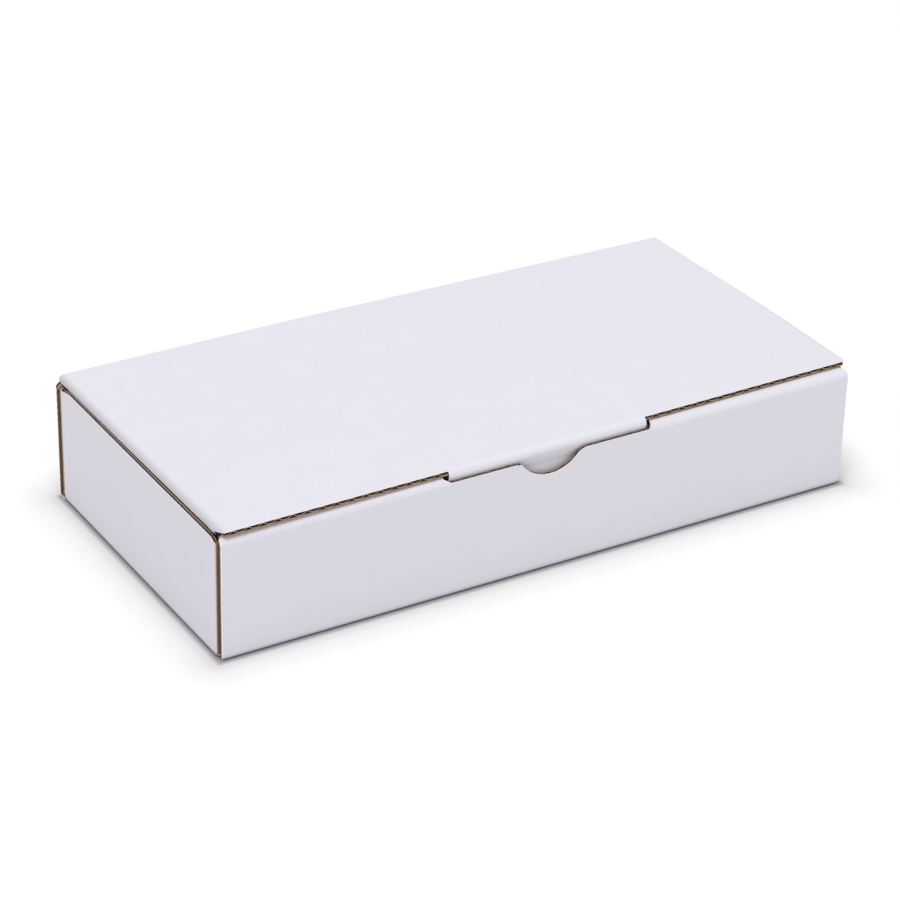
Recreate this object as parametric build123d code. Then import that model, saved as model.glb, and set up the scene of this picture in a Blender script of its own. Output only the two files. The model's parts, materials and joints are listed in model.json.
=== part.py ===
from build123d import *
import math
import os

# A mailer box folded from one sheet of corrugated board, with its lid closed.
# +X runs along the box, +Y from the front wall to the back wall, +Z up.
# The origin is the middle of the underside. Sizes are in millimetres.

# Driving dimensions: the whole box
length = 308.0            # outside, over the cut ends of the front and back walls
depth = 153.4             # outside, over the front and back walls
height = 59.8             # outside, from the table to the top of the lid
board = 2.7               # B flute board with both its liners
flute_pitch = 6.7         # from one flute to the next
liner = 0.32              # one liner, or the fluted medium between them
flute_open = 0.38         # half the width of a flute's hollow, as a share of the pitch
channel_depth = 6.0       # how far the flutes are hollowed behind a cut across them
groove_depth = 1.2        # how far the board is hollowed behind a cut along them
slack = 0.3               # play between boards that lie against each other

# Front wall: outer panel, roll-over and inner panel
crest_gap = 0.2           # between the roll-over and the closed lid
tab_clear = 0.25          # least gap in front of the tuck tab as it swings out
tab_back_play = 0.2       # behind the tuck tab
crest_cut_back = 3.2      # slant at the roll-over's ends, along the wall
crest_cut_drop = 3.8      # the same slant, down the wall
foot_radius = 2.0         # lower corners of the front and back walls
cutout_length = 97.6      # opening in the roll-over that the tuck tab goes down
cutout_drop = 1.8         # from the crest down to the opening's sill
cutout_radius = 1.5
notch_width = 29.0        # thumb notch, across its mouth
notch_depth = 8.1
lock_tab_width = 32.0     # tabs of the inner panel that stand in slots in the base
lock_tab_spacing = 150.0
lock_tab_lift = 0.4       # the tabs end this far above the table

# End panels and their corner flaps
end_drop = 0.8            # from the lid's underside down to an end panel's cut edge
flap_length = 62.0
flap_drop = 2.0           # the flaps' upper edges stand below the end panel's
flap_lift = 0.5           # the flaps' lower edges clear the base
flap_corner = 8.0
end_corner = 3.0          # slant where the end panel's edge runs down to its flaps

# Lid
lid_set_back = 2.2        # the lid's cut front edge stands behind the front wall's face
shoulder = 1.0            # the lid's rounded shoulders overhang the ears
lid_corner_along = 2.3    # slant at the lid's front corners, along the lid
lid_corner_back = 3.1     # the same slant, towards the back
tab_side_play = 1.4       # between the tuck tab's ends and the opening in the roll-over
tab_length = 17.0         # from the lid's top down to the tab's edge
tab_corner = 6.0
nick_radius = 0.8         # round reliefs where the tab leaves the lid's front edge
ear_play = 0.5            # between the ears' edges and the walls that they swing past
ear_lift = 6.0            # from the base up to the ears' lower edges
ear_corner = 6.0
ear_rear_slant = 8.0      # degrees
hinge_gap = 0.3           # between the lid's rear end and the back wall's crease

# Places that follow from them
end_x = length / 2
front_y = -depth / 2
back_y = depth / 2
lid_under = height - board
crest_z = lid_under - crest_gap
inner_end_x = end_x - board - slack
sill_z = crest_z - cutout_drop
end_top = lid_under - end_drop
flap_edge_y = depth / 2 - board - slack
hinge_y = back_y - board / 2
hinge_z = height - board / 2
tab_low_z = height - tab_length
tab_reach = hinge_y - (front_y + board) - tab_clear      # from the hinge to the tab's edge
tab_face_y = hinge_y - math.sqrt(tab_reach ** 2 - (hinge_z - tab_low_z) ** 2)
inner_face_y = tab_face_y + board + tab_back_play + board
lid_front_y = front_y + lid_set_back
lid_half = inner_end_x + shoulder
tab_half = cutout_length / 2 - tab_side_play


def slab(x, y, z):
    """A block between two corners, each given as a pair along its axis."""
    middle = ((x[0] + x[1]) / 2, (y[0] + y[1]) / 2, (z[0] + z[1]) / 2)
    return Pos(*middle) * Box(x[1] - x[0], y[1] - y[0], z[1] - z[0])


def both_ends(half):
    """A shape at the right end of the box, and its mirror image at the left end."""
    return half + mirror(half, about=Plane.YZ)


def fold_along_x(y, z, toward_y, toward_z, half_length):
    """A crease along X: a quarter round about the fold's inner line."""
    round_bar = Pos(0, y, z) * Rot(0, 90, 0) * Cylinder(board, 2 * half_length)
    corner = slab((-half_length, half_length), sorted((y, y + toward_y * board)),
                  sorted((z, z + toward_z * board)))
    return round_bar & corner


def fold_upright(x, y, toward_y, z):
    """An upright crease at the right end, between an end panel and its corner flap."""
    round_bar = Pos(x, y, (z[0] + z[1]) / 2) * Cylinder(board, z[1] - z[0])
    return round_bar & slab((x, x + board), sorted((y, y + toward_y * board)), z)


def prism_across(points, x):
    """An outline in the YZ plane, drawn out along X."""
    outline = Plane.YZ.offset(x[0]) * make_face(Polyline(*points, close=True))
    return extrude(outline, x[1] - x[0])


def prism_through(points, y):
    """An outline in the XZ plane, drawn out towards the back from y[0] to y[1]."""
    outline = Plane.XZ.offset(-y[1]) * make_face(Polyline(*points, close=True))
    return extrude(outline, y[1] - y[0])


def flute_hollow(leans_up):
    """One flute's hollow in section: X along the cut, Y through the board from one face."""
    half = flute_open * flute_pitch
    swing = (board - 3 * liner) / 2
    shares = (-1, -2 / 3, -1 / 3, 0, 1 / 3, 2 / 3, 1)
    roof = [(half * share,
             (board - liner) / 2 + swing * math.cos(2 * math.pi * flute_open * share))
            for share in shares]
    outline = Spline(*roof) + Polyline(roof[-1], (half, liner), (-half, liner), roof[0])
    hollow = make_face(outline)
    return hollow if leans_up else mirror(hollow, about=Plane.XZ.offset(-board / 2))


def flute_row(origin, along, out, reach, deep):
    """The hollows behind a cut across the flutes, between two places along the cut.

    The cut faces out, and the board's thickness runs from the origin along out x along.
    """
    cut = Plane(origin=origin, x_dir=along, z_dir=out)
    half_pitch = flute_pitch / 2
    margin = flute_open * flute_pitch + liner
    first = math.ceil((reach[0] + margin) / half_pitch)
    last = math.floor((reach[1] - margin) / half_pitch)
    return [extrude(cut * Pos(step * half_pitch, 0) * flute_hollow(step % 2 == 0), -deep)
            for step in range(first, last + 1)]


def groove(corner_points, toward, run):
    """The half flute behind a cut along the flutes: a three-sided groove of some run."""
    return extrude(make_face(Polyline(*corner_points, close=True)), run, dir=toward)


def wall_end_groove(shallow_y, deep_y, z):
    """The groove in the right end of the front or back wall."""
    return groove([(end_x, shallow_y, z[0]), (end_x, deep_y, z[0]),
                   (end_x - groove_depth, deep_y, z[0])], (0, 0, 1), z[1] - z[0])


def front_wall():
    """The outer panel, rolled over a double crease into the inner panel."""
    outer = slab((-end_x, end_x), (front_y, front_y + board), (board, crest_z - board))
    outer += fold_along_x(front_y + board, crest_z - board, -1, 1, end_x)
    roll = slab((-inner_end_x, inner_end_x), (front_y + board, inner_face_y - board),
                (crest_z - board, crest_z))
    roll += fold_along_x(inner_face_y - board, crest_z - board, 1, 1, inner_end_x)
    roll += slab((-inner_end_x, inner_end_x), (inner_face_y - board, inner_face_y),
                 (board + slack, crest_z - board))
    slant = prism_through([(end_x + 1, crest_z - crest_cut_drop),
                           (end_x, crest_z - crest_cut_drop),
                           (end_x - crest_cut_back, crest_z),
                           (end_x - crest_cut_back, crest_z + 1),
                           (end_x + 1, crest_z + 1)], (front_y - 1, front_y + board))
    ends = slant + wall_end_groove(front_y + board - liner, front_y + liner,
                                   (board, crest_z - crest_cut_drop))
    return outer + roll - both_ends(ends)


def tab_opening():
    """The opening in the roll-over for the tuck tab, with the thumb notch below it."""
    tool_top = crest_z + 10
    opening = Pos(0, (sill_z + tool_top) / 2) * RectangleRounded(
        cutout_length, tool_top - sill_z, cutout_radius)
    through = (front_y - 1, inner_face_y + 1)
    cut = extrude(Plane.XZ.offset(-through[1]) * opening, through[1] - through[0])
    cut += slab((-cutout_length / 2, cutout_length / 2),
                (front_y + board, inner_face_y - board), (crest_z - 2 * board, tool_top))
    radius = (notch_width ** 2 / 4 + notch_depth ** 2) / (2 * notch_depth)
    notch_z = sill_z - notch_depth + radius
    outer_panel = (front_y - 1, front_y + board + slack)
    moon = Plane.XZ.offset(-outer_panel[1]) * (Pos(0, notch_z) * Circle(radius))
    cut += extrude(moon, outer_panel[1] - outer_panel[0])
    straight = cutout_length / 2 - cutout_radius
    return [cut] + flute_row((0, front_y, sill_z), (1, 0, 0), (0, 0, 1),
                             (-straight, straight), notch_depth + channel_depth)


def lock_tabs(play):
    """The inner panel's two locking tabs, or with some play the slots that hold them."""
    tabs = None
    for side in (-1, 1):
        middle = side * lock_tab_spacing / 2
        tab = slab((middle - lock_tab_width / 2 - play, middle + lock_tab_width / 2 + play),
                   (inner_face_y - board - play, inner_face_y + play),
                   (lock_tab_lift if play == 0 else -1, board + slack))
        if play == 0:
            tab -= flute_row((0, inner_face_y, lock_tab_lift), (1, 0, 0), (0, 0, -1),
                             (middle - lock_tab_width / 2, middle + lock_tab_width / 2),
                             channel_depth)
        tabs = tab if tabs is None else tabs + tab
    return tabs


def back_wall():
    """The back wall, whose upper edge is the rounded crease that the lid swings about."""
    wall = slab((-end_x, end_x), (back_y - board, back_y), (board, hinge_z))
    wall -= both_ends(wall_end_groove(back_y - liner, back_y - board + liner,
                                      (board, hinge_z - board)))
    return wall + Pos(0, hinge_y, hinge_z) * Rot(0, 90, 0) * Cylinder(board / 2, length)


def wall_feet():
    """What is trimmed off the lower outer corners of the front and back walls."""
    reach = foot_radius + 1
    corner = slab((end_x - foot_radius, end_x + reach), (front_y - 1, back_y + 1),
                  (-reach, foot_radius))
    corner -= Pos(end_x - foot_radius, 0, foot_radius) * Rot(90, 0, 0) * Cylinder(
        foot_radius, depth + 4)
    panel = slab((end_x - reach, end_x + reach), (-flap_edge_y, flap_edge_y), (-reach, reach))
    return both_ends(corner - panel)


def corner_flap(toward_y, top):
    """One corner flap at the right end, folded in from the end panel's upright edge."""
    z = (board + flap_lift, top)
    inner_y = toward_y * (flap_edge_y - board)
    free_x = end_x - board - flap_length
    y = sorted((inner_y, inner_y + toward_y * board))
    leaf = slab((free_x, end_x - board), y, z)
    free_corners = leaf.edges().filter_by(Axis.Y).group_by(Axis.X)[0]
    leaf = fillet(free_corners, flap_corner)
    leaf -= flute_row((free_x, y[0], 0), (0, 0, 1), (-1, 0, 0), z, flap_corner + channel_depth)
    return leaf + fold_upright(end_x - board, inner_y, toward_y, z)


def end_panel():
    """The right end panel with its corner flaps."""
    side_y = flap_edge_y - board
    front_flap_top = crest_z - board - slack
    rear_flap_top = end_top - flap_drop
    panel = prism_across([(-side_y, board), (side_y, board), (side_y, rear_flap_top),
                          (side_y - end_corner, end_top), (end_corner - side_y, end_top),
                          (-side_y, front_flap_top)], (end_x - board, end_x))
    panel += Pos(end_x - board, 0, board) * Rot(90, 0, 0) * Cylinder(board, 2 * flap_edge_y) \
        & slab((end_x - board, end_x), (-flap_edge_y, flap_edge_y), (0, board))
    top_reach = side_y - end_corner - groove_depth
    panel -= groove([(end_x - liner, -top_reach, end_top), (end_x - board + liner, -top_reach, end_top),
                     (end_x - board + liner, -top_reach, end_top - groove_depth)],
                    (0, 1, 0), 2 * top_reach)
    panel += corner_flap(-1, front_flap_top)
    panel += corner_flap(1, rear_flap_top)
    return panel


def tray():
    """Base, walls, roll-over and corner flaps, all one folded sheet."""
    base = slab((board - end_x, end_x - board), (front_y + board, back_y - board), (0, board))
    base += fold_along_x(front_y + board, board, -1, -1, end_x)
    base += fold_along_x(back_y - board, board, 1, -1, end_x)
    base -= lock_tabs(slack)
    sheet = base + front_wall() + lock_tabs(0) + back_wall() - wall_feet()
    return sheet + both_ends(end_panel()) - tab_opening()


def swing_reach(z):
    """How far in front of the hinge a point at height z may be, to clear the inner panel."""
    clear = hinge_y - inner_face_y - ear_play
    return math.sqrt(clear ** 2 - (hinge_z - z) ** 2)


def ear():
    """The right side ear, which hangs inside the end panel."""
    low_z = board + ear_lift
    rear_y = flap_edge_y - board - ear_play
    rear_low_y = rear_y - (lid_under - low_z) * math.tan(math.radians(ear_rear_slant))
    leaf = prism_across([(hinge_y - swing_reach(lid_under), lid_under), (rear_y, lid_under),
                         (rear_low_y, low_z), (hinge_y - swing_reach(low_z), low_z)],
                        (inner_end_x - board, inner_end_x))
    low_corners = leaf.edges().filter_by(Axis.X).group_by(Axis.Z)[0]
    leaf = fillet(low_corners, ear_corner)
    return leaf - flute_row((inner_end_x - board, depth / 2, 0), (0, 0, 1), (0, 1, 0),
                            (low_z, lid_under), depth)


def tuck_tab():
    """The tab at the middle of the lid's front edge, folded down behind the outer panel."""
    leaf = slab((-tab_half, tab_half), (tab_face_y, tab_face_y + board), (tab_low_z, lid_under))
    low_corners = leaf.edges().filter_by(Axis.Y).group_by(Axis.Z)[0]
    leaf = fillet(low_corners, tab_corner)
    straight = tab_half - tab_corner
    leaf -= flute_row((0, tab_face_y + board, tab_low_z), (1, 0, 0), (0, 0, -1),
                      (-straight, straight), channel_depth)
    return leaf + fold_along_x(tab_face_y + board, lid_under, -1, 1, tab_half)


def lid_panel():
    """The flat panel with a rounded shoulder at each side."""
    rear_y = hinge_y - board / 2 - hinge_gap
    flat = slab((board - lid_half, lid_half - board), (lid_front_y, rear_y),
                (lid_under, height))
    shoulder_round = Pos(lid_half - board, (lid_front_y + rear_y) / 2, lid_under) * Rot(
        90, 0, 0) * Cylinder(board, rear_y - lid_front_y)
    shoulder_round &= slab((lid_half - board, lid_half), (lid_front_y, rear_y),
                           (lid_under, height))
    corner = extrude(make_face(Polyline(
        (lid_half + 1, lid_front_y - 1), (lid_half - lid_corner_along, lid_front_y - 1),
        (lid_half - lid_corner_along, lid_front_y), (lid_half, lid_front_y + lid_corner_back),
        (lid_half + 1, lid_front_y + lid_corner_back), close=True)), height + 1)
    panel = flat + both_ends(shoulder_round) - both_ends(corner)
    beside_tab = tab_half + 2 * nick_radius
    for reach in ((board - lid_half, -beside_tab), (beside_tab, lid_half - board)):
        panel -= flute_row((0, lid_front_y, lid_under), (1, 0, 0), (0, -1, 0), reach, channel_depth)
    return panel


def tab_clearance():
    """What is cut from the lid's front edge to free the tuck tab at its crease."""
    room = slab((-tab_half, tab_half), (lid_front_y - 1, tab_face_y + board),
                (lid_under - 1, height + 1))
    nick = Pos(tab_half + nick_radius, tab_face_y, height) * Cylinder(nick_radius, 4 * board)
    slit = slab((tab_half, tab_half + 2 * nick_radius), (lid_front_y - 1, tab_face_y),
                (lid_under - 1, height + 1))
    return room + both_ends(nick + slit)


def lid():
    """Lid panel, ears and tuck tab, all one folded sheet."""
    return lid_panel() - tab_clearance() + both_ends(ear()) + tuck_tab()


os.makedirs("parts", exist_ok=True)
for name, make in (("tray", tray), ("lid", lid)):
    solid = make()
    print(name, "solids", len(solid.solids()), "volume", round(solid.volume, 1))
    export_step(solid, f"parts/{name}.step")
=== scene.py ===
import json
import math
import bmesh
import bpy
import numpy as np
from mathutils import Matrix, Vector


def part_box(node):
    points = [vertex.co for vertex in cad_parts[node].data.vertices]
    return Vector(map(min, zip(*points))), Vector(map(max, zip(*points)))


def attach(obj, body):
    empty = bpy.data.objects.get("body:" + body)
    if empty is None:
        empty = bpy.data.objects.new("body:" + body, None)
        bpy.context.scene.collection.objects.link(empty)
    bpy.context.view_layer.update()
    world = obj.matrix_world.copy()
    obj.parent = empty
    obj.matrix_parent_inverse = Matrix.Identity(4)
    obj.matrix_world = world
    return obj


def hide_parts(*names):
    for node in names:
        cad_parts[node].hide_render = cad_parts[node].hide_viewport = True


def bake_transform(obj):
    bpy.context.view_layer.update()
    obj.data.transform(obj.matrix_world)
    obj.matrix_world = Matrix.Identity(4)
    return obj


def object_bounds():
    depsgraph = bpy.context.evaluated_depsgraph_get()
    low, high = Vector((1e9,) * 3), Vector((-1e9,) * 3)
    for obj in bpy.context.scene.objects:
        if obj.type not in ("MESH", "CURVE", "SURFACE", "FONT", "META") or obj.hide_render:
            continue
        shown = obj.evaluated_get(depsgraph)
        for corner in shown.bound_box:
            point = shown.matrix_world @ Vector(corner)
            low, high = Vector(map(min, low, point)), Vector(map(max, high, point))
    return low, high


# A white-faced corrugated mailer box, closed, on a pale floor.
# Shapes are worked out in millimetres in the frame's axes and stored in metres.

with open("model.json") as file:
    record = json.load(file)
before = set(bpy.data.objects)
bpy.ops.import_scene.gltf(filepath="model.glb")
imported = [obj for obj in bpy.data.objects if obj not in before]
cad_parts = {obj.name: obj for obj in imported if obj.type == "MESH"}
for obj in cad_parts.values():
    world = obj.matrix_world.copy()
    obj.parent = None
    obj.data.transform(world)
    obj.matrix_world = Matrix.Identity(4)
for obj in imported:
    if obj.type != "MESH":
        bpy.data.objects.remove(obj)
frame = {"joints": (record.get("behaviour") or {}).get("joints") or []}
cadLow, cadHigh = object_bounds()
metre = 1000.0
print("frame loaded")

trayHigh = np.array(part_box("tray")[1]) * metre
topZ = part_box("lid")[1][2] * metre
hinge = np.array(frame["joints"][0]["pos_m"]) * metre
board = 2 * (topZ - hinge[2])       # the hinge runs through the middle of the lid's thickness
endX, backY = trayHigh[:2]
frontY = -backY
lidUnder = topZ - board
boxLow = np.array(cadLow) * metre
boxHigh = np.array(cadHigh) * metre
tiny, far = 1e-6, 1e9

# What the board is made of: two flat liners with a fluted sheet between them
sheet = {
    "pitch": 6.7,           # from flute to flute
    "liner": 0.38,
    "medium": 0.42,
    "lean": 0.55,           # the flutes are pushed over by the cut
    "samples": 14,          # faces along one flute
    "open": 7.0,            # how far the fluted sheet reaches in from a cut edge
    "nickPitch": 3.2,       # the die's teeth along a cut edge
    "nickDepth": 0.16,
    "nickWide": 0.11,       # as a share of the pitch
    "sharp": 38.0,          # edges above this angle in degrees stay sharp
}
waveSwing = (board - 2 * sheet["liner"] - sheet["medium"]) / 2


# Materials
surface = {"specular": 0.25, "bump": 0.35, "bumpDepth": 0.0002}


class Wire:
    # One socket of a shader, with arithmetic
    def __init__(self, tree, socket=None):
        self.tree = tree
        self.socket = socket

    def add(self, kind, settings, sockets, out=0):
        node = self.tree.nodes.new(kind)
        for key, value in settings.items():
            if key == "stops":
                for count, (place, colour) in enumerate(value):
                    stops = node.color_ramp.elements
                    stop = stops[count] if count < 2 else stops.new(place)
                    stop.position = place
                    stop.color = (*colour, 1)
            else:
                setattr(node, key, value)
        for key, value in sockets.items():
            if isinstance(value, Wire):
                self.tree.links.new(value.socket, node.inputs[key])
            else:
                node.inputs[key].default_value = value
        return Wire(self.tree, node.outputs[out])

    def math(self, operation, *values):
        return self.add("ShaderNodeMath", {"operation": operation}, dict(enumerate(values)))

    def between(self, value, low, high):
        return self.add("ShaderNodeMapRange", {"interpolation_type": "SMOOTHSTEP"},
                        {0: value, 1: low, 2: high})

    def __add__(self, other):
        return self.math("ADD", self, other)

    def __radd__(self, other):
        return self.math("ADD", other, self)

    def __sub__(self, other):
        return self.math("SUBTRACT", self, other)

    def __rsub__(self, other):
        return self.math("SUBTRACT", other, self)

    def __mul__(self, other):
        return self.math("MULTIPLY", self, other)

    def __rmul__(self, other):
        return self.math("MULTIPLY", other, self)


def newMaterial(name, roughness, build):
    made = bpy.data.materials.new(name)
    made.use_nodes = True
    tree = made.node_tree
    shader = tree.nodes["Principled BSDF"]
    shader.inputs["Roughness"].default_value = roughness
    shader.inputs["Specular IOR Level"].default_value = surface["specular"]
    wire = Wire(tree)
    place = wire.add("ShaderNodeTexCoord", {}, {}, "Object")
    colour, height = build(wire, place)
    bump = wire.add("ShaderNodeBump", {}, {"Height": height, "Strength": surface["bump"],
                                           "Distance": surface["bumpDepth"]})
    tree.links.new(colour.socket, shader.inputs["Base Color"])
    tree.links.new(bump.socket, shader.inputs["Normal"])
    return made


def noise(wire, place, scale, detail=3.0, rough=0.6):
    return wire.add("ShaderNodeTexNoise", {}, {"Vector": place, "Scale": scale, "Detail": detail,
                                                "Roughness": rough})


def stretched(wire, place, factors):
    return wire.add("ShaderNodeVectorMath", {"operation": "MULTIPLY"}, {0: place, 1: factors})


def ramp(wire, value, low, high):
    # Black to white between two values
    return wire.add("ShaderNodeValToRGB", {"stops": [(low, (0, 0, 0)), (high, (1, 1, 1))]},
                    {"Fac": value})


def axis(wire, place, which):
    return wire.add("ShaderNodeSeparateXYZ", {}, {0: place}, which)


def mixed(wire, share, first, second):
    return wire.add("ShaderNodeMix", {"data_type": "RGBA"},
                    {"Factor": share, 6: first, 7: second}, 2)


whiteColourAndShade = {
    "plain": (0.664, 0.655, 0.712, 1),
    "grey": (0.640, 0.631, 0.686, 1),
    "cloud": 60.0,          # noise scales
    "fibre": 900.0,
    "spots": 700.0,
    "greyRange": (0.30, 0.75),
    "speck": (0.52, 0.50, 0.52, 1),
    "speckRange": (0.76, 0.80),
    "speckShare": 0.35,
    "crease": (0.46, 0.452, 0.485, 1),   # painted shade: grey along the lid's folded shoulders, standing in for their shading
    "shoulderShadeLeft": (-0.1490, -0.1535),    # in metres, like the two below
    "shoulderShadeRight": (0.1522, 0.1539),
    "shoulderShadeRise": 0.0004,
}


def whiteBuild(wire, place):
    cloud = noise(wire, place, whiteColourAndShade["cloud"], 4.0)
    fibre = noise(wire, place, whiteColourAndShade["fibre"], 3.0, 0.7)
    spots = noise(wire, place, whiteColourAndShade["spots"], 1.0, 0.4)
    share = ramp(wire, cloud * 0.5 + fibre * 0.5, *whiteColourAndShade["greyRange"])
    speck = ramp(wire, spots, *whiteColourAndShade["speckRange"])
    plain = mixed(wire, share, whiteColourAndShade["plain"], whiteColourAndShade["grey"])
    marked = mixed(wire, speck * whiteColourAndShade["speckShare"], plain, whiteColourAndShade["speck"])
    # Painted shade: the grey is mixed in along the lid's left and right shoulders, above its
    # underside
    sideways = axis(wire, place, 0)
    bent = wire.between(sideways, *whiteColourAndShade["shoulderShadeLeft"]) \
        + wire.between(sideways, *whiteColourAndShade["shoulderShadeRight"])
    lowest = lidUnder / metre
    onLid = wire.between(axis(wire, place, 2), lowest, lowest + whiteColourAndShade["shoulderShadeRise"])
    return mixed(wire, bent * onLid, marked, whiteColourAndShade["crease"]), fibre


# Painted highlight: the white liner's cut rims, pale paper edges, are made lighter than its face to
# give a bright line along the cut edges
rimHighlightColour = {
    "light": (0.86, 0.855, 0.90, 1),
    "dark": (0.80, 0.79, 0.83, 1),
}


def rimHighlightBuild(wire, place):
    fibre = noise(wire, place, whiteColourAndShade["fibre"], 3.0, 0.7)
    return mixed(wire, fibre, rimHighlightColour["light"], rimHighlightColour["dark"]), fibre


kraftFinish = {
    "light": (0.44, 0.295, 0.200),
    "dark": (0.30, 0.188, 0.118),
    "cloud": 90.0,          # noise scales
    "fibre": 700.0,
    "stretch": (1, 1, 2.5),
    "darkRange": (0.35, 0.68),
}


def kraftBuild(wire, place, gain=1.0):
    drawn = stretched(wire, place, kraftFinish["stretch"])
    fibre = noise(wire, drawn, kraftFinish["fibre"], 4.0, 0.7)
    cloud = noise(wire, place, kraftFinish["cloud"], 3.0)
    share = ramp(wire, cloud * 0.4 + fibre * 0.6, *kraftFinish["darkRange"])
    dark, light = [tuple(channel * gain for channel in kraftFinish[key]) + (1,)
                   for key in ("dark", "light")]
    return mixed(wire, share, dark, light), fibre


whiteLiner = newMaterial("whiteLiner", 0.62, whiteBuild)
kraftLiner = newMaterial("kraftLiner", 0.85, kraftBuild)
kraftMedium = newMaterial("kraftMedium", 0.9, lambda wire, place: kraftBuild(wire, place, 0.72))
cutEdge = newMaterial("cutEdge", 0.9, lambda wire, place: kraftBuild(wire, place, 1.12))
# Painted shade: a darker copy of the kraft for the faces inside the flutes, where shade falls
kraftPaintedShade = newMaterial("kraftPaintedShade", 0.95, lambda wire, place: kraftBuild(wire, place, 0.45))
whiteRimHighlight = newMaterial("whiteRimHighlight", 0.6, rimHighlightBuild)
finishes = [whiteLiner, kraftLiner, kraftMedium, cutEdge, kraftPaintedShade, whiteRimHighlight]
# deep marks the faces that take the kraft painted darker as shade inside the flutes
white, kraft, fluted, raw, deep, rimHighlight = range(6)
print("materials made")


# Folded sheet tools
class FoldLine:
    # The board's outer face along a run of panels and rounded creases, seen edge on.
    # The outer side is on the left of the way the line runs.
    def __init__(self, points, radii, step=0.05):
        points = [np.array(p, float) for p in points]
        places = [points[0]]
        for before, corner, after, radius in zip(points, points[1:], points[2:], radii):
            into = (corner - before) / np.linalg.norm(corner - before)
            out = (after - corner) / np.linalg.norm(after - corner)
            turn = math.atan2(into[0] * out[1] - into[1] * out[0], into @ out)
            reach = radius * math.tan(abs(turn) / 2)
            side = math.copysign(1, turn)
            centre = corner - into * reach + side * radius * np.array((-into[1], into[0]))
            arcSteps = max(4, int(abs(turn) * radius / step))
            for share in np.linspace(0, 1, arcSteps):
                angle = share * turn
                arm = -side * radius * np.array((-into[1], into[0]))
                turned = np.array((arm[0] * math.cos(angle) - arm[1] * math.sin(angle),
                                   arm[0] * math.sin(angle) + arm[1] * math.cos(angle)))
                places.append(centre + turned)
        places.append(points[-1])
        places = np.array(places)
        gaps = np.linalg.norm(np.diff(places, axis=0), axis=1)
        places = places[np.concatenate(([True], gaps > tiny))]
        gaps = gaps[gaps > tiny]
        self.along = np.concatenate(([0], np.cumsum(gaps)))
        heading = np.gradient(places, self.along, axis=0)
        heading /= np.linalg.norm(heading, axis=1)[:, None]
        self.places = places
        self.normals = np.stack((-heading[:, 1], heading[:, 0]), axis=1)

    def at(self, along):
        u, v = [np.interp(along, self.along, self.places[:, k]) for k in (0, 1)]
        nu, nv = [np.interp(along, self.along, self.normals[:, k]) for k in (0, 1)]
        size = np.sqrt(nu ** 2 + nv ** 2)
        return u, v, nu / size, nv / size


def smooth(value, low, high):
    share = np.clip((value - low) / (high - low), 0, 1)
    return share * share * (3 - 2 * share)


def spread(*stops):
    # Places from stop to stop, with a largest gap between each pair: spread(a, gap, b, gap, c)
    places = [stops[0]]
    for gap, end in zip(stops[1::2], stops[2::2]):
        count = max(1, int(math.ceil(abs(end - places[-1]) / gap - tiny)))
        places += list(np.linspace(places[-1], end, count + 1)[1:])
    return np.array(places)


def bell(value, width):
    return np.exp(-(value / width) ** 2)


def fade(value, length):
    # One at nought and below, falling evenly to nothing over the length
    return np.clip(1 - value / length, 0, 1)


def rounding(share):
    # How far a quarter circle of radius one has come in, from its end (0) to its tip (1)
    return 1 - np.sqrt(1 - share ** 2)


def nicks(along, depth):
    # The small bites that the cutting die's teeth leave along an edge
    turn = np.mod(along / sheet["nickPitch"], 1.0)
    return depth * bell(turn - 0.5, sheet["nickWide"])


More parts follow.
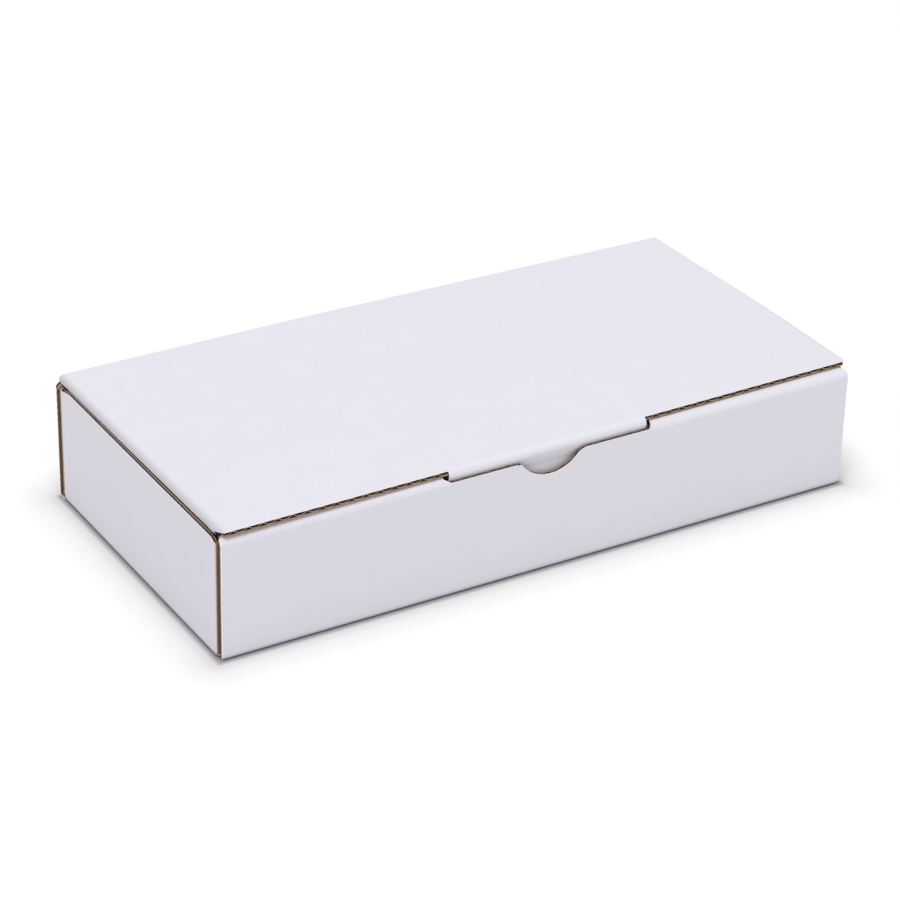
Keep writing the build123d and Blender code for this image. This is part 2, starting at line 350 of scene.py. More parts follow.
class Pile:
    # Faces of one piece, gathered layer by layer
    def __init__(self):
        self.points, self.faces, self.finish, self.count = [], [], [], 0

    def layer(self, place, first, second, cells, low, high, looks):
        # A closed thin shell between two depths of the board, over the marked cells of a grid
        rows, cols = first.shape
        under = place(first, second, np.broadcast_to(low, first.shape)).reshape(-1, 3)
        over = place(first, second, np.broadcast_to(high, first.shape)).reshape(-1, 3)
        index = np.arange(rows * cols).reshape(rows, cols)
        corners = np.stack((index[:-1, :-1], index[:-1, 1:], index[1:, 1:], index[1:, :-1]),
                           axis=-1)
        quads = corners[cells]
        lift = rows * cols
        groups = [(quads[:, ::-1], looks[0]), (quads + lift, looks[1])]
        padded = np.pad(cells, 1)
        edges = ((padded[:-2, 1:-1], 0, 1), (padded[1:-1, 2:], 1, 2), (padded[2:, 1:-1], 2, 3),
                 (padded[1:-1, :-2], 3, 0))
        for beyond, start, end in edges:
            bare = corners[cells & ~beyond]
            a, b = bare[:, start], bare[:, end]
            groups.append((np.stack((a, b, b + lift, a + lift), axis=1), looks[2]))
        for faces, look in groups:
            self.faces.append(faces + self.count)
            self.finish.append(np.full(len(faces), look))
        self.points += [under, over]
        self.count += 2 * lift

    def boards(self, place, first, second, cells):
        # Both liners of a stretch of board
        thin = sheet["liner"]
        # The liners' faces towards the flutes take the kraft painted darker as shade
        self.layer(place, first, second, cells, 0.0, thin, (kraft, deep, raw))
        # The outer liner's cut rim takes the painted highlight
        self.layer(place, first, second, cells, board - thin, board, (deep, white, rimHighlight))

    def flutes(self, place, first, second, across, phase=0.0):
        # The fluted sheet over a whole grid; across is the coordinate that counts the flutes
        angle = 2 * math.pi * (across / sheet["pitch"] + phase)
        middle = board / 2 + waveSwing * np.cos(angle + sheet["lean"] * np.sin(angle))
        half = sheet["medium"] / 2
        cells = np.ones((first.shape[0] - 1, first.shape[1] - 1), bool)
        # The fluted sheet's upper face takes the kraft painted darker as shade
        self.layer(place, first, second, cells, middle - half, middle + half, (fluted, deep, raw))

    def piece(self, name):
        points = np.concatenate(self.points)
        faces = np.concatenate(self.faces)
        finish = np.concatenate(self.finish)
        used = np.unique(faces)
        renumber = np.zeros(len(points), int)
        renumber[used] = np.arange(len(used))
        mesh = bpy.data.meshes.new(name)
        mesh.from_pydata((points[used] / metre).tolist(), [], renumber[faces].tolist())
        for made in finishes:
            mesh.materials.append(made)
        mesh.polygons.foreach_set("material_index", finish.astype(np.int32))
        work = bmesh.new()
        work.from_mesh(mesh)
        bmesh.ops.recalc_face_normals(work, faces=work.faces)
        work.to_mesh(mesh)
        work.free()
        mesh.polygons.foreach_set("use_smooth", np.ones(len(mesh.polygons), bool))
        mesh.set_sharp_from_angle(angle=math.radians(sheet["sharp"]))
        mesh.update()
        made = bpy.data.objects.new(name, mesh)
        bpy.context.scene.collection.objects.link(made)
        print(name, "faces", len(mesh.polygons))
        return made


def grid(rows, cols):
    return np.meshgrid(rows, cols, indexing="ij")


def between(values, low, high):
    # Which gaps of a list of places lie between two values
    middles = (values[:-1] + values[1:]) / 2
    return (middles > low) & (middles < high)


lean = {
    "backPull": 2.9,        # the back wall's top leans in by this much at the right end
    "backDrop": 0.7,        # and the lid sits lower there
    "backFrom": -36.0,      # both start this far along the wall
    "backSpan": -30.0,      # and reach forward to here
    "endPull": 2.6,         # the right end leans in by this much at the back
    "endFrom": -28.0,       # it starts this far back
    "endSpan": 20.0,        # and reaches inwards to here
    "endPower": 1.6,
    "heights": (4.0, 56.0),
    "footing": 6.0,         # nothing moves where the box stands on the floor
    "wave": 0.08,           # the faces swell and sink by this much, each with its own spans
    "waves": (((31, 0.6), (23, 1.1)), ((43, 2.0), (19, 0.3)), ((57, 0.9), (38, 1.7))),
}


def ripple(first, second, waves):
    (firstSpan, firstShift), (secondSpan, secondShift) = waves
    return lean["wave"] * np.sin(first / firstSpan + firstShift) \
        * np.sin(second / secondSpan + secondShift)


def sway(points):
    # The slight unevenness of hand-folded board, the same for every layer
    x, y, z = points[..., 0], points[..., 1], points[..., 2]
    rear = np.clip((x - lean["backFrom"]) / (endX - lean["backFrom"]), 0, None) \
        * smooth(y, lean["backSpan"], backY)
    right = smooth(x, lean["endSpan"], endX) \
        * np.clip((y - lean["endFrom"]) / (backY - lean["endFrom"]), 0, 1) ** lean["endPower"]
    high = smooth(z, *lean["heights"])
    push = np.stack((ripple(y, z, lean["waves"][0]) - lean["endPull"] * right * high,
                     ripple(x, z, lean["waves"][1]) - lean["backPull"] * rear * high,
                     ripple(x, y, lean["waves"][2]) - lean["wave"]
                     - lean["backDrop"] * rear * high), axis=-1)
    keep = smooth(z, 0.0, lean["footing"])[..., None]
    return np.clip(points + push * keep, boxLow, boxHigh)


# Tray: walls and base in one run
wall = {
    "crestGap": 0.06,        # below the closed lid
    "crestRound": 3.9,
    "innerRound": 2.9,
    "footRound": 3.0,
    "innerFace": 9.37,       # from the front wall's face to the inner panel's inner face
    "innerFoot": 0.3,        # the inner panel ends this far above the base
    "endPlay": 3.0,          # the roll-over stands inside the end panels
    "endSlant": (3.2, 1.8),  # it narrows from and to so far past the crest's start and end
    "baseEnd": 148.0,
    "basePlay": 0.3,
    "footCorner": (0.8, 2.2),   # left and right
    "footShare": 0.55,       # the walls' lower corners are cut off down to this share of the fold
    "creaseDrop": 5.8,       # the back wall hands over to the hinge crease this far below the top
    "sillDrop": 2.7,
    "cutLeft": -47.4,
    "cutRight": 49.8,
    "cutSlant": 3.2,         # the left end of the opening leans out by this much
    "slantRise": 2.2,        # over this height
    "cutRound": 1.9,
    "cutBulge": 0.6,         # the right end is rounded in by this share
    "cutReach": 5.0,         # both bend the sheet this far to each side
    "flatOut": 1.0,          # the crest's fold stops between these two places at the opening's ends
    "flatIn": 0.8,
    "flatDrop": 14.0,
    "notchHalf": 14.5,
    "notchDeep": 8.1,
    "notchMiddle": 0.6,
    "notchFade": 22.0,       # the rows below follow the notch down to here
    "lip": 0.9,              # its corners are rounded off by this much
    "lipWide": 1.3,
    "lipInside": 0.35,
    "endSkew": 1.3,          # one liner ends short of the other at the walls' ends
    "skewSpan": (12.0, 2.0),
    "pullFrom": 0.86,        # outside this share of the length the columns follow the ends
    "sillCrush": 0.30,       # the board is this much thinner right at the sill
    "crushReach": 3.2,
    "frontPhase": 0.93,      # where in a flute the cut ends fall
    "backPhase": 0.42,
}
crestZ = lidUnder - wall["crestGap"]
innerY = frontY + wall["innerFace"]
creaseZ = topZ - wall["creaseDrop"]
trayLine = FoldLine([(backY, creaseZ), (backY, 0), (frontY, 0), (frontY, crestZ), (innerY, crestZ),
                     (innerY, board + wall["innerFoot"])],
                    [wall["footRound"], wall["footRound"], wall["crestRound"], wall["innerRound"]])
wallEnd = creaseZ - wall["footRound"]
footArc = math.pi / 2 * wall["footRound"]
baseStart = wallEnd + footArc
baseEnd = baseStart + 2 * backY - 2 * wall["footRound"]
frontStart = baseEnd + footArc
crestStart = frontStart + crestZ - wall["footRound"] - wall["crestRound"]
crestEnd = crestStart + math.pi / 2 * wall["crestRound"]
rollEnd = crestEnd + wall["innerFace"] - wall["crestRound"] - wall["innerRound"]
innerStart = rollEnd + math.pi / 2 * wall["innerRound"]
trayEnd = trayLine.along[-1]
sillOuter = crestStart + wall["crestRound"] - wall["sillDrop"]
sillInner = innerStart - wall["innerRound"] + wall["sillDrop"]


def trayReach(along, side):
    # Half the length of the sheet at each place of the run, towards its left or right end
    foot = np.where(side < 0, *wall["footCorner"])
    cutFrom = footArc * wall["footShare"]
    backFoot = foot * rounding(fade(np.clip(wallEnd + cutFrom - along, 0, foot), foot))
    frontFoot = foot * rounding(fade(np.clip(along - frontStart + cutFrom, 0, foot), foot))
    reach = np.full(along.shape, float(endX))
    reach -= np.where(along < baseStart, backFoot, 0) + np.where(along > baseEnd, frontFoot, 0)
    onBase = (along > baseStart - wall["basePlay"]) & (along < baseEnd + wall["basePlay"])
    reach = np.where(onBase, wall["baseEnd"], reach)
    slantFrom, slantTo = crestStart + wall["endSlant"][0], crestEnd + wall["endSlant"][1]
    return reach - smooth(along, slantFrom, slantTo) * wall["endPlay"]


def trayPlace(along, x, depthIn):
    y, z, ny, nz = trayLine.at(along)
    # The wall has no crease where the opening is cut, so it stays flat up to the sill
    front = along < (crestEnd + rollEnd) / 2
    flatY = np.where(front, frontY, innerY)
    flatZ = np.where(front, crestZ - wall["crestRound"] + along - crestStart,
                     crestZ - wall["innerRound"] + innerStart - along)
    nearCrest = (along > crestStart - wall["flatDrop"]) & (along < innerStart)
    inwards, outwards = wall["flatIn"], wall["flatOut"]
    flat = smooth(x, wall["cutLeft"] - outwards, wall["cutLeft"] + inwards) \
        * (1 - smooth(x, wall["cutRight"] - inwards, wall["cutRight"] + outwards)) * nearCrest
    y = y + (flatY - y) * flat
    z = z + (flatZ - z) * flat
    ny = ny + (np.where(front, -1.0, 1.0) - ny) * flat
    nz = nz * (1 - flat)
    size = np.sqrt(ny ** 2 + nz ** 2)
    ny, nz = ny / size, nz / size
    # The inner liner ends short on the back wall, the outer one on the front wall
    share = depthIn / board
    back = along < wallEnd + footArc
    skew = np.where(back, 1 - share, np.where(along > frontStart - footArc, share, 0))
    skewFrom, skewTo = wall["skewSpan"]
    skew = wall["endSkew"] * skew * smooth(np.abs(x), endX - skewFrom, endX - skewTo)
    x = x - np.sign(x) * skew
    toSill = sillOuter - notchAt(x) - along
    crush = wall["sillCrush"] * (1 - smooth(toSill, 0, wall["crushReach"])) * flat * front \
        * (toSill > -0.5)
    shift = (depthIn - board) * (1 - crush)
    return sway(np.stack((x, y + ny * shift, z + nz * shift), axis=-1))


def notchAt(x):
    # Depth of the thumb notch below the sill
    half, deep = wall["notchHalf"], wall["notchDeep"]
    radius = (half ** 2 + deep ** 2) / (2 * deep)
    away = np.abs(x - wall["notchMiddle"])
    bow = np.sqrt(np.clip(radius ** 2 - away ** 2, 0, None)) - (radius - deep)
    lip = wall["lip"] * bell(away - half, wall["lipWide"])
    return np.where(away < half, np.maximum(bow, 0) + lip * wall["lipInside"], lip)


def trayColumns():
    left, right = wall["cutLeft"], wall["cutRight"]
    notchLeft = wall["notchMiddle"] - wall["notchHalf"] - 3
    notchRight = wall["notchMiddle"] + wall["notchHalf"] + 3
    return np.concatenate((
        spread(-1.0, 0.004, -0.985, 0.03, -0.92, 0.1, -0.40)[:-1] * endX,
        spread(left - 9, 1.5, left - 1.5, 0.4, left + 1.2, 2.5, left + 8, 6, notchLeft, 1.0,
               notchRight, 6, right - 8, 2.5, right - 1.2, 0.4, right + 1.5, 1.5, right + 9),
        spread(0.40, 0.1, 0.92, 0.03, 0.985, 0.004, 1.0)[1:] * endX))


def trayWarp(along, x):
    # Bends the plain grid to the opening's ends, the notch and the sheet's own ends
    rise = np.clip(np.minimum(along - sillOuter, sillInner - along), 0, None)
    atOpening = (along > crestStart - 1) & (along < innerStart + 1)
    nearLeft = bell(x - wall["cutLeft"], wall["cutReach"]) * atOpening
    nearRight = bell(x - wall["cutRight"], wall["cutReach"]) * atOpening
    slant = wall["cutSlant"] * np.clip(rise / wall["slantRise"], 0, 1)
    bulge = wall["cutRound"] * wall["cutBulge"] * rounding(fade(rise, wall["cutRound"]))
    bent = x - slant * nearLeft - bulge * nearRight
    follow = fade(sillOuter - along, wall["notchFade"])
    moved = along - notchAt(x) * follow * (along <= sillOuter + tiny) * (along > frontStart)
    onWall = (moved < wallEnd) | (moved > frontStart)
    reach = trayReach(moved, x) - nicks(moved, sheet["nickDepth"]) * onWall
    pull = smooth(np.abs(bent), endX * wall["pullFrom"], endX)
    return moved, bent + np.sign(bent) * (reach - endX) * pull


trayRows = np.concatenate((
    spread(0, 0.8, wallEnd - 0.5, 0.5, wallEnd, footArc / 8, baseStart, 0.6, baseStart + 1.2, 14,
           baseEnd - 1.2, 0.6, baseEnd, footArc / 8, frontStart, 0.8, crestStart,
           wall["crestRound"] * 0.13, sillOuter)[:-1],
    spread(sillOuter, 0.35, crestEnd, 1.0, rollEnd, 0.5, sillInner)[:-1],
    spread(sillInner, 0.5, innerStart + 0.4, 6, trayEnd)))
trayCols = trayColumns()
rowGrid, colGrid = grid(trayRows, trayCols)
trayCells = ~np.outer(between(trayRows, sillOuter, sillInner),
                      between(trayCols, wall["cutLeft"], wall["cutRight"]))
along, across = trayWarp(rowGrid, colGrid)
tray = Pile()
tray.boards(trayPlace, along, across, trayCells)

# Fluted sheet behind the walls' cut ends
split = crestStart + 4.0
for side in (-1, 1):
    for low, high, phase in ((0.0, baseStart - 0.8, wall["backPhase"]),
                             (baseEnd + 0.8, split, wall["frontPhase"]),
                             (split, trayEnd, wall["frontPhase"])):
        lines, depths = grid(spread(low, 1.1, high), spread(0.0, 0.35, sheet["open"]))
        reach = trayReach(lines, np.full(lines.shape, side)) - 0.12
        tray.flutes(trayPlace, lines, side * (reach - depths), endX - reach + depths, phase)

# Fluted sheet below the opening's sill and round the notch, and on the inner panel's side
fluteStep = sheet["pitch"] / sheet["samples"]
fluteX = np.arange(wall["cutLeft"] + 0.3, wall["cutRight"] - 0.3, fluteStep)
depths, lines = grid(spread(0.12, 1.2, 9.0), fluteX)
tray.flutes(trayPlace, sillOuter - depths - notchAt(lines), lines, lines)
tray.flutes(trayPlace, sillInner + depths, lines, lines)
trayBoard = tray.piece("trayBoard")


# End panels with their corner flaps
end = {
    "drop": 0.7,            # top edge below the lid's underside
    "slope": 1.2,           # and lower still by this much at the front
    "out": 0.1,             # the panel's face stands inside the walls' cut ends
    "round": 3.0,
    "cornerRound": 2.75,
    "play": 0.3,
    "flap": 62.0,
    "dip": 2.3,             # the top edge runs down to the flaps
    "dipStart": (9.0, 2.0),  # over this length at the back and at the front
    "dipOut": -3.5,
    "dipDepth": 14.0,       # the rows below follow it down to here
    "flapCorner": 8.0,
    "flapFade": 20.0,
    "lift": 0.5,
    "foldDrop": 2.4,        # the upright folds reach this far below the flaps
    "foldIn": (-1.0, 1.0),  # between these two places beside the fold
    "foldOut": (4.5, 9.0),
    "foldFade": 8.0,
    "crush": 0.40,          # the board is this much thinner at the top edge
    "crushReach": 7.3,
    "nickDepth": 0.10,
    "phase": 0.46,
}
panelX = endX - end["out"]
panelTop = lidUnder - end["drop"]
flapY = backY - board - end["play"]
upLine = FoldLine([(panelX, panelTop), (panelX, 0), (wall["baseEnd"], 0)], [end["round"]])
aroundLine = FoldLine([(panelX - end["flap"], flapY), (panelX, flapY), (panelX, -flapY),
                       (panelX - end["flap"], -flapY)], [end["cornerRound"]] * 2)
cornerArc = math.pi / 2 * end["cornerRound"]
rearFold = end["flap"] - end["cornerRound"]
panelFrom = rearFold + cornerArc
panelTo = panelFrom + 2 * flapY - 2 * end["cornerRound"]
frontFold = panelTo + cornerArc
aroundEnd = aroundLine.along[-1]
upPanel = panelTop - end["round"]
upEnd = upLine.along[-1]
flapLow = panelTop - board - end["lift"]


def endPlace(side):
    def place(down, around, depthIn):
        xUp, z, nxUp, nzUp = upLine.at(down)
        xAround, y, nxAround, nyAround = aroundLine.at(around)
        nx, ny, nz = nxAround * nxUp, nyAround, nzUp * np.abs(nxAround)
        size = np.sqrt(nx ** 2 + ny ** 2 + nz ** 2)
        crush = end["crush"] * (1 - smooth(down, 0, end["crushReach"]))
        shift = (depthIn - board) / size * (1 - crush)
        points = np.stack(((xAround + xUp - panelX + nx * shift) * side, y + ny * shift,
                           z + nz * shift), axis=-1)
        return sway(points)
    return place


def endWarp(down, around):
    middle = (panelFrom + panelTo) / 2
    away = (panelTo - panelFrom) / 2 - np.abs(around - middle)
    run = np.where(around < middle, *end["dipStart"])
    dip = end["dip"] * (1 - smooth(away, end["dipOut"], run)) \
        + end["slope"] * np.clip((around - panelFrom) / (panelTo - panelFrom), 0, 1)
    lowered = down + dip * fade(down, end["dipDepth"])
    # The upright folds reach below the flaps' lower edges
    foldLow = smooth(-away, *end["foldIn"]) * (1 - smooth(-away, *end["foldOut"]))
    lowered += end["foldDrop"] * foldLow * fade(flapLow - down, end["foldFade"]) \
        * (down < flapLow + tiny)
    # Rounded free corners of the flaps
    fromTop = np.clip(lowered - end["dip"], 0, None)
    fromLow = np.clip(flapLow - lowered, 0, None)
    short = end["flapCorner"] * rounding(fade(np.minimum(fromTop, fromLow), end["flapCorner"])) \
        * (lowered < flapLow + tiny)
    share = fade(np.minimum(around, aroundEnd - around), end["flapFade"])
    return lowered, around + np.where(around < middle, 1, -1) * short * share


downRows = np.concatenate((spread(0, 0.7, 2.8, 3, flapLow - 9, 1.2, flapLow)[:-1],
                           spread(flapLow, 1, upPanel, footArc / 8, upPanel + cornerArc, 4, upEnd)))
aroundCols = spread(0, 1.5, 6, 10, rearFold, cornerArc / 8, panelFrom, 0.8, panelFrom + 8, 0.8,
                    panelTo - 8, 0.8, panelTo, cornerArc / 8, frontFold, 10, aroundEnd - 6, 1.5,
                    aroundEnd)
downGrid, aroundGrid = grid(downRows, aroundCols)
endCells = ~np.outer(between(downRows, flapLow, far), ~between(aroundCols, panelFrom, panelTo))
lowered, turned = endWarp(downGrid, aroundGrid)
lowered = lowered + nicks(aroundGrid, end["nickDepth"]) * (downGrid < tiny)
ends = Pile()
for side in (-1, 1):
    place = endPlace(side)
    ends.boards(place, lowered, turned, endCells)
    # Fluted sheet in the top edge and in the flaps' free ends
    depths, lines = grid(spread(0.1, 0.35, sheet["open"]), aroundCols)
    ends.flutes(place, *endWarp(depths, lines), depths, end["phase"])
    fluteDown = np.arange(end["dip"] + 6, flapLow - 6, fluteStep)
    lines, depths = grid(fluteDown, spread(0.15, 1.5, 7.65))
    for free in (depths, aroundEnd - depths):
        ends.flutes(place, lines, free, lines)
endPanels = ends.piece("endPanels")


# Lid with ears and tuck tab
lidShape = {
    "setBack": 2.0,         # the cut front edge stands behind the front wall's face
    "skew": 0.0122,         # and runs back by this much towards the right
    "skewFrom": 40.0,       # except along the tuck tab
    "frontFade": 12.0,      # the rows behind follow the front edge to here
    "shoulderX": (152.5, 153.85),   # left and right
    "earX": 150.9,
    "kinkZ": 55.4,
    "tuckZ": 56.9,          # the shoulders overhang the end panels down to here
    "shoulderRound": (2.7, 1.0),
    "kinkRound": 0.15,
    "earBend": 1.0,
    "crush": 0.62,          # the board is thinner by this share in the shoulders' creases
    "crushIn": (0.6, 2.6),  # between these two places round the shoulder
    "crushOut": (2.5, 6.0),
    "edgeCrush": 0.20,      # and right at the cut front edge
    "edgeReach": 3.5,
    "earLift": 6.0,
    "tabFace": 3.3,         # from the front wall's face back to the tab's face
    "tabKinks": ((-73.4, 50.4), (-74.8, 53.9)),
    "tabNose": -77.3,       # where the slanted tab would meet the lid's top
    "tabBend": 1.5,
    "tabRound": 2.9,
    "tabLength": 17.0,
    "tabLeft": -48.2,
    "tabRight": 48.0,
    "tabCorner": 6.0,
    "tabFade": 20.0,
    "tabBlend": 0.25,       # beside the tab the cut edge dips with it over this length
    "earFront": -66.8,
    "earRear": 70.5,
    "earPull": (9.0, 6.8),  # the ears narrow by this much at the front and at the back
    "earPower": 1.6,
    "earFade": 60.0,
    "earCorner": 6.0,
    "earCornerFade": 30.0,
    "shoulderRear": 75.7,
    "squareRear": 0.55,     # the left shoulder's rounding is less by this share at the back
    "rearSpan": (52.0, 73.0),
    "squareFront": 0.35,    # and by this share at the front
    "frontSpan": (3.0, 17.0),
    "cornerOut": 1.1,
    "cornerWide": 2.0,
    "cornerFrom": (1.0, -0.6),   # the front corners are cut back from here
    "cornerOver": (2.2, 2.0),    # over this length round the shoulder
    "cornerBack": (4.8, 2.0),    # by this much
    "creaseReach": 6.2,     # the hinge crease reaches this far in from the back wall's face
}
lidFront = frontY + lidShape["setBack"]
lidRear = backY - lidShape["creaseReach"]
tabFaceY = frontY + lidShape["tabFace"]
earLowZ = board + lidShape["earLift"]
leftX, rightX = lidShape["shoulderX"]
leftRound, rightRound = lidShape["shoulderRound"]
acrossLine = FoldLine([(-lidShape["earX"], earLowZ), (-lidShape["earX"], lidShape["kinkZ"]),
                       (-leftX, lidShape["tuckZ"]), (-leftX, topZ), (rightX, topZ),
                       (rightX, lidShape["tuckZ"]), (lidShape["earX"], lidShape["kinkZ"]),
                       (lidShape["earX"], earLowZ)],
                      [lidShape["earBend"], lidShape["kinkRound"], leftRound, rightRound,
                       lidShape["kinkRound"], lidShape["earBend"]])
level = 0.9999
flatStart = np.argmax(acrossLine.normals[:, 1] > level)
# So that the line counts as X on the flat lid
acrossLine.along += acrossLine.places[flatStart, 0] - acrossLine.along[flatStart]
tabLine = FoldLine([(tabFaceY, topZ - lidShape["tabLength"]), *lidShape["tabKinks"],
                    (lidShape["tabNose"], topZ), (backY, topZ)],
                   [lidShape["tabBend"], lidShape["tabBend"], lidShape["tabRound"]])
tabLine.along += backY - tabLine.along[-1]       # so that it counts as Y on the flat lid
tabEnd = tabLine.along[0]
tabFlat = tabLine.along[tabLine.normals[:, 1] < level].max()
starts = (leftX - leftRound, rightX - rightRound)     # where the shoulders begin, left and right
turns = [start + math.pi / 2 * bend + topZ - bend - lidShape["tuckZ"]
         for start, bend in zip(starts, lidShape["shoulderRound"])]
earEnds = (-acrossLine.along[0], acrossLine.along[-1])


def sided(over, pair):
    return np.where(over < 0, pair[0], pair[1])


def frontAt(over):
    return lidFront + lidShape["skew"] * over * (np.abs(over) > lidShape["skewFrom"])


def lidPlace(over, toBack, depthIn):
    x, z, nx, nz = acrossLine.at(over)
    tabY, tabZ, tny, tnz = tabLine.at(toBack)
    left, right, blend = lidShape["tabLeft"], lidShape["tabRight"], lidShape["tabBlend"]
    onTab = smooth(x, left - blend, left) * (1 - smooth(x, right, right + blend)) \
        * (toBack < tabFlat)
    y = toBack + (tabY - toBack) * onTab
    z = z + (tabZ - z) * onTab
    ny = tny * onTab
    nz = nz + (tnz - nz) * onTab
    away = np.abs(over)
    # The left shoulder is squarer at its ends and reaches out at its front corner
    onLeft = (over < -starts[0]) * (over > -turns[0])
    nearest, farthest = lidShape["frontSpan"]
    atFront = 1 - smooth(toBack, lidFront + nearest, lidFront + farthest)
    square = lidShape["squareRear"] * smooth(toBack, *lidShape["rearSpan"]) \
        + lidShape["squareFront"] * atFront
    z = z + (topZ - z) * square * onLeft
    outwards = onLeft * smooth(-over, starts[0], starts[0] + lidShape["cornerWide"])
    x = x - lidShape["cornerOut"] * atFront * outwards
    pastStart, pastTurn = away - sided(over, starts), away - sided(over, turns)
    inCrease = smooth(pastStart, *lidShape["crushIn"]) \
        * (1 - smooth(pastTurn, *lidShape["crushOut"]))
    atEdge = 1 - smooth(toBack - frontAt(over), 0, lidShape["edgeReach"])
    thinner = lidShape["crush"] * inCrease + lidShape["edgeCrush"] * atEdge * (1 - inCrease)
    shift = (depthIn - board) * (1 - thinner)
    return sway(np.stack((x + nx * shift, y + ny * shift, z + nz * shift), axis=-1))


def lidWarp(over, toBack):
    away = np.abs(over)
    # The front edge is skewed and its corners are cut back
    share = (away - sided(over, starts) - sided(over, lidShape["cornerFrom"])) \
        / sided(over, lidShape["cornerOver"])
    corner = sided(over, lidShape["cornerBack"]) * np.clip(share, 0, 1)
    behind = toBack > lidFront - 0.01
    front = fade(toBack - lidFront, lidShape["frontFade"]) * behind
    moved = toBack + (corner + frontAt(over) - lidFront) * front
    # The ears narrow towards their lower edges, and their corners are rounded
    earTurn, earEnd = sided(over, turns), sided(over, earEnds)
    earShare = np.clip((away - earTurn) / (earEnd - earTurn), 0, 1)
    fromFront, fromRear = toBack - lidShape["earFront"], lidShape["earRear"] - toBack
    frontPull, rearPull = lidShape["earPull"]
    frontPull = fade(fromFront, lidShape["earFade"]) * frontPull * earShare ** lidShape["earPower"]
    rearPull = fade(fromRear, lidShape["earFade"]) * rearPull * earShare
    roundOff = lidShape["earCorner"] * rounding(fade(earEnd - away, lidShape["earCorner"]))
    frontPull += roundOff * fade(fromFront, lidShape["earCornerFade"])
    rearPull += roundOff * fade(fromRear, lidShape["earCornerFade"])
    moved = moved + np.where(away > earTurn, frontPull - rearPull, 0)
    # The tab's lower corners are rounded
    tabIn = lidShape["tabCorner"] * rounding(fade(toBack - tabEnd, lidShape["tabCorner"])) \
        * (toBack < lidFront)
    pull = fade(over - lidShape["tabLeft"], lidShape["tabFade"]) \
        - fade(lidShape["tabRight"] - over, lidShape["tabFade"])
    return moved, over + tabIn * pull


left, right, blend = lidShape["tabLeft"], lidShape["tabRight"], lidShape["tabBlend"]
overCols = spread(-earEnds[0], 1.0, -earEnds[0] + 6, 8, -turns[0] - 3, 1.0, -turns[0], 0.3,
                  -starts[0], 1.0, -starts[0] + 3, 12, left - blend, 0.13, left, 1.5, left + 6, 10,
                  right - 6, 1.5, right, 0.13, right + blend, 12, starts[1] - 3, 1.0,
                  starts[1] - 0.8, 0.3, turns[1], 1.0, turns[1] + 3, 8, earEnds[1] - 6, 1.0,
                  earEnds[1])
backRows = np.concatenate((spread(tabEnd, 0.9, tabEnd + 9, 0.5, lidFront)[:-1],
                           spread(lidFront, 0.5, tabFlat + 1.2, 1.5, lidShape["earFront"], 3, -50,
                                  12, 50, 6, lidRear, 0.8, lidShape["shoulderRear"])))
backGrid, overGrid = grid(backRows, overCols)
isTab = between(overCols, left, right)
isEar = ~between(overCols, -turns[0], turns[1])
isFlat = between(overCols, -starts[0], starts[1])
lidCells = np.ones((len(backRows) - 1, len(overCols) - 1), bool)
lidCells &= ~np.outer(between(backRows, -far, lidFront), ~isTab)
lidCells &= ~np.outer(between(backRows, -far, lidShape["earFront"]), isEar)
lidCells &= ~np.outer(between(backRows, lidRear, far), isFlat | isEar)
lid = Pile()
moved, slid = lidWarp(overGrid, backGrid)
lid.boards(lidPlace, slid, moved, lidCells)

# Fluted sheet behind the cut front edge, in the tab's lower edge and in the ears
for low, high in ((-starts[0] - 3.6, left - blend), (right + blend, starts[1] + 1.0)):
    lines, depths = grid(np.arange(low, high, fluteStep), spread(0.12, 1.6, sheet["open"]))
    moved, slid = lidWarp(lines, lidFront + depths)
    lid.flutes(lidPlace, slid, moved, lines)
lines, depths = grid(np.arange(left + 6, right - 6, fluteStep), spread(0.15, 1.6, sheet["open"]))
lid.flutes(lidPlace, lines, tabEnd + depths, lines)
for side, turnAt, earEnd in ((-1, turns[0], earEnds[0]), (1, turns[1], earEnds[1])):
    lines = side * np.arange(turnAt + 1, earEnd - 6, fluteStep)
    for edge, inwards in ((lidShape["earFront"] + 0.15, 1), (lidRear - 0.15, -1)):
        first, depths = grid(lines, spread(0, 1.6, sheet["open"]))
        moved, slid = lidWarp(first, edge + inwards * depths)
        lid.flutes(lidPlace, slid, moved, first)
lidBoard = lid.piece("lidBoard")


# Hinge crease
crease = {
    "round": 1.5,
    "fan": 5.0,             # it narrows towards the lid over this length
    "fanStart": 0.3,
    "fanWide": 30.0,        # the columns this close to its ends follow
}
creaseLine = FoldLine([(lidRear, topZ), (backY, topZ), (backY, creaseZ)], [crease["round"]])
creaseEnd = creaseLine.along[-1]


def creasePlace(along, x, depthIn):
    y, z, ny, nz = creaseLine.at(along)
    taper = smooth(creaseEnd - along, crease["fanStart"], crease["fan"]) * (endX - sided(x, starts))
    x = x - np.sign(x) * taper * smooth(np.abs(x), endX - crease["fanWide"], endX)
    shift = depthIn - board
    return sway(np.stack((x, y + ny * shift, z + nz * shift), axis=-1))


creaseRows = spread(0, 0.45, creaseEnd)
creaseCols = spread(-endX, 0.8, -endX + 4, 12, endX - 4, 0.8, endX)
alongGrid, xGrid = grid(creaseRows, creaseCols)
creaseCells = np.ones((len(creaseRows) - 1, len(creaseCols) - 1), bool)
creasePile = Pile()
creasePile.boards(creasePlace, alongGrid, xGrid, creaseCells)
for side in (-1, 1):
    lines, depths = grid(creaseRows, spread(0.1, 0.35, sheet["open"]))
    creasePile.flutes(creasePlace, lines, side * (endX - depths), depths, wall["backPhase"])
hingeCrease = creasePile.piece("hingeCrease")
print("board made")

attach(trayBoard, "tray")
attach(endPanels, "tray")
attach(lidBoard, "lid")
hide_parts("tray")
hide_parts("tray")
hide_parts("lid")
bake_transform(hingeCrease)

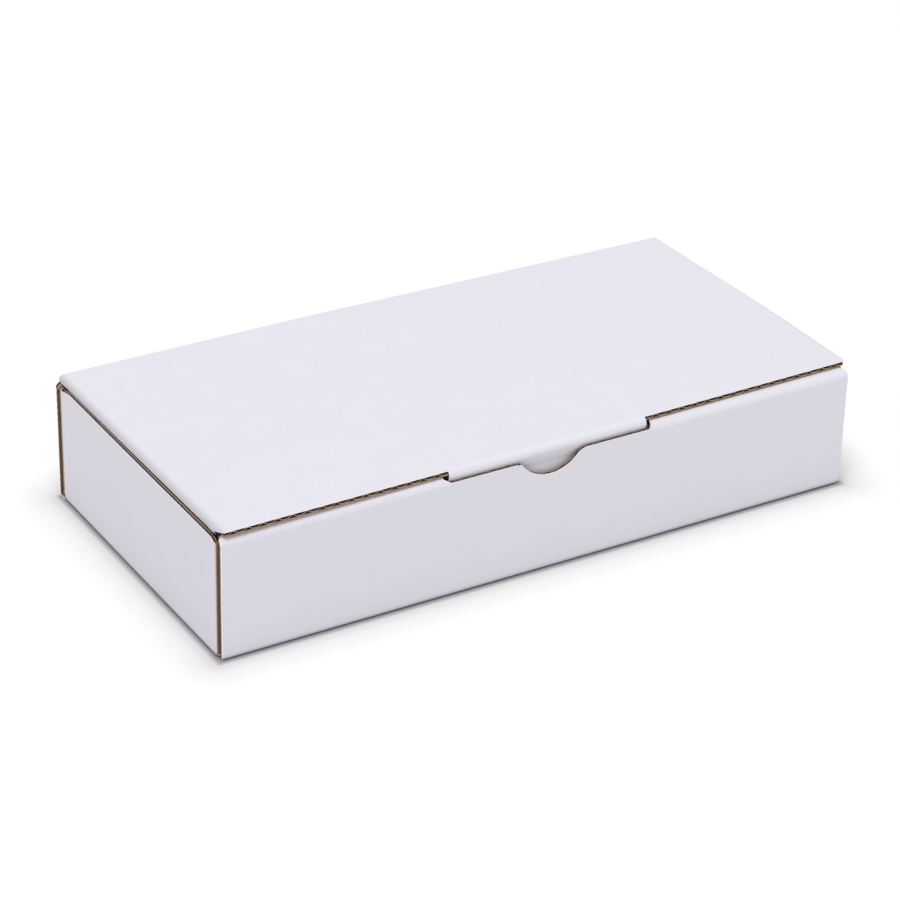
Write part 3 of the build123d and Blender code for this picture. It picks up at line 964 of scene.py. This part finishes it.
# Floor, light and camera
studio = {
    "floorSize": 6.0,
    "floorColour": (0.85, 0.85, 0.85, 1),
    "shadeColour": (0.34, 0.33, 0.33, 1),   # painted contact shadow: the floor is darker right beside the box
    "shadeStops": ((0.0, 1.0), (0.08, 0.44), (0.28, 0.23), (0.60, 0.10), (1.0, 0.0)),
    "shadeReach": 0.026,
    "sky": 0.71,
    "key": 1062.0,
    "keyPlace": (-3.10, -3.90, 12.2),
    "keySize": 7.5,
}
floorMesh = bpy.data.meshes.new("floor")
half = studio["floorSize"]
floorMesh.from_pydata([(-half, -half, 0), (half, -half, 0), (half, half, 0), (-half, half, 0)], [],
                      [(0, 1, 2, 3)])
floor = bpy.data.objects.new("floor", floorMesh)
bpy.context.scene.collection.objects.link(floor)


def floorWithShadowBuild(wire, place):
    # Painted contact shadow: darker where the floor meets the box
    sideways, onwards = [
        wire.math("MAXIMUM", wire.math("ABSOLUTE", axis(wire, place, which)) - edge / metre, 0.0)
        for which, edge in enumerate((endX, backY))]
    away = wire.math("SQRT", sideways * sideways + onwards * onwards)
    stops = [(spot, (share,) * 3) for spot, share in studio["shadeStops"]]
    shade = wire.add("ShaderNodeValToRGB", {"stops": stops},
                     {"Fac": away * (1 / studio["shadeReach"])})
    return mixed(wire, shade, studio["floorColour"], studio["shadeColour"]), away


floorWithPaintedShadow = newMaterial("floorWithPaintedShadow", 0.9, floorWithShadowBuild)
floorMesh.materials.append(floorWithPaintedShadow)

world = bpy.data.worlds.new("studio")
world.use_nodes = True
world.node_tree.nodes["Background"].inputs["Color"].default_value = (1, 1, 1, 1)
world.node_tree.nodes["Background"].inputs["Strength"].default_value = studio["sky"]
bpy.context.scene.world = world
keyLight = bpy.data.lights.new("key", "AREA")
keyLight.shape = "DISK"
keyLight.size = studio["keySize"]
keyLight.energy = studio["key"]
key = bpy.data.objects.new("key", keyLight)
key.location = studio["keyPlace"]
key.rotation_euler = Vector(studio["keyPlace"]).to_track_quat("Z", "Y").to_euler()
bpy.context.scene.collection.objects.link(key)

view = {
    "place": (-0.65324, -1.07784, 0.71552),
    "forward": (0.45257, 0.74949, -0.48317),
    "right": (0.86170, -0.50699, 0.02068),
    "lens": 131.87,
    "sensor": 36,
}
lens = bpy.data.cameras.new("camera")
lens.sensor_width = view["sensor"]
lens.lens = view["lens"]
camera = bpy.data.objects.new("camera", lens)
forward = Vector(view["forward"]).normalized()
right = (Vector(view["right"]) - Vector(view["right"]).dot(forward) * forward).normalized()
up = right.cross(forward)
turn = Matrix((right, up, -forward)).transposed()
camera.matrix_world = Matrix.Translation(view["place"]) @ turn.to_4x4()
bpy.context.scene.collection.objects.link(camera)
bpy.context.scene.camera = camera
bpy.context.scene.view_settings.view_transform = "Standard"
print("studio made")
